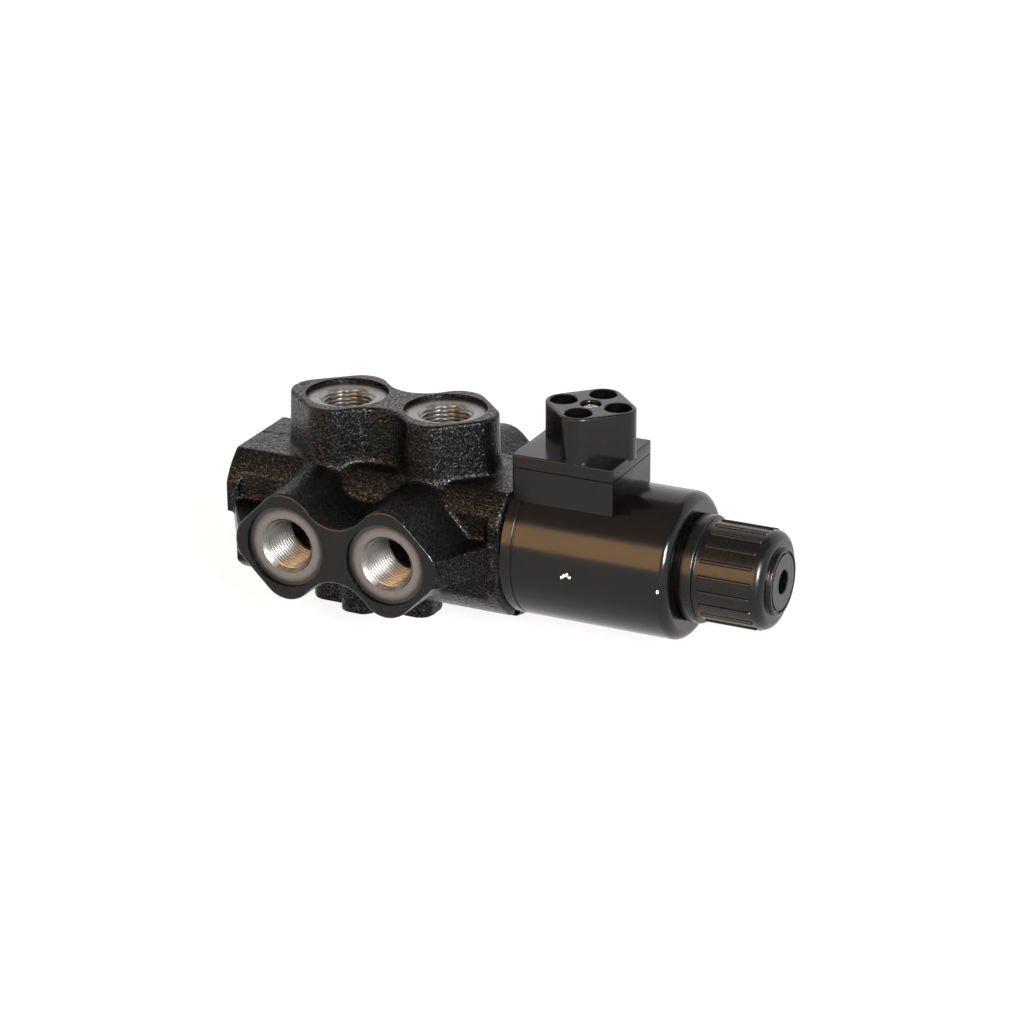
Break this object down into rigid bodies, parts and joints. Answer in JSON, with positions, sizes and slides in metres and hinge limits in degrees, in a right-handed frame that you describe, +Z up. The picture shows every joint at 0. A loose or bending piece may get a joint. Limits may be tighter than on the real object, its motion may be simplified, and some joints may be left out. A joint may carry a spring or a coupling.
{
  "type": "solenoid directional valve",
  "caption": "Solenoid-operated spool valve: a black cast body with threaded ports on its top and sides, a coil that turns on its tube with a square plug base, and a ribbed ring nut.",
  "frame": {"origin": "on the plane of the mounting pad, under the spool axis and midway between the two rows of ports", "axes": "+X along the spool axis towards the coil and its nut, +Z up out of the top ports, so the pictured side ports face -Y"},
  "size_m": [0.1775, 0.0842, 0.0789],
  "materials": {
    "black_casting": "sand-cast iron under a semi-gloss black coat",
    "black_coil_can": "smooth glossy black coat",
    "black_plastic": "moulded black plastic, satin",
    "bright_steel": "ground steel",
    "spring_steel": "plain steel",
    "copper": "enamelled copper wire",
    "brass": "plain",
    "natural_plastic": "moulded",
    "seal_rubber": "matt"
  },
  "bodies": {
    "valve": {"valve_body": "black_casting", "end_plug": "bright_steel", "end_plug_seal": "seal_rubber", "return_spring": "spring_steel", "core_tube": "bright_steel", "core_tube_seal": "seal_rubber", "pole_piece": "bright_steel", "tube_stop": "bright_steel", "override_seal": "seal_rubber"},
    "shuttle": {"spool": "bright_steel"},
    "plunger": {"armature": "bright_steel", "push_pin": "bright_steel"},
    "override": {"override_pin": "brass"},
    "coil": {"coil_can": "black_coil_can", "coil_front_seal": "seal_rubber", "coil_rear_seal": "seal_rubber", "front_flux_washer": "spring_steel", "rear_flux_washer": "spring_steel", "coil_bobbin": "natural_plastic", "copper_winding": "copper", "terminal_tower": "black_plastic", "connector_gasket": "seal_rubber", "connector_base": "black_plastic", "contact_1": "brass", "contact_2": "brass", "contact_3": "brass", "contact_4": "brass", "connector_screw": "bright_steel"},
    "nut": {"ring_nut": "black_plastic"}
  },
  "joints": [
    {"name": "spool_shift", "type": "slide", "parent": "valve", "child": "shuttle", "axis": [-1, 0, 0], "range_m": [0, 0.004], "stiffness_N_per_m": 2000, "springref_m": -0.005, "deforming": ["return_spring"]},
    {"name": "armature_shift", "type": "slide", "parent": "valve", "child": "plunger", "axis": [-1, 0, 0], "range_m": [0, 0.004]},
    {"name": "override_press", "type": "slide", "parent": "valve", "child": "override", "axis": [-1, 0, 0], "range_m": [0, 0.004]},
    {"name": "coil_swivel", "type": "hinge", "parent": "valve", "child": "coil", "pos_m": [0.07, 0, 0.032], "axis": [1, 0, 0], "continuous": true},
    {"name": "ring_nut_turn", "type": "hinge", "parent": "valve", "child": "nut", "pos_m": [0.11, 0, 0.032], "axis": [1, 0, 0], "continuous": true}
  ],
  "couplings": [
    {"joint": "armature_shift", "follows": "spool_shift", "ratio": 1},
    {"joint": "override_press", "follows": "spool_shift", "ratio": 1}
  ]
}
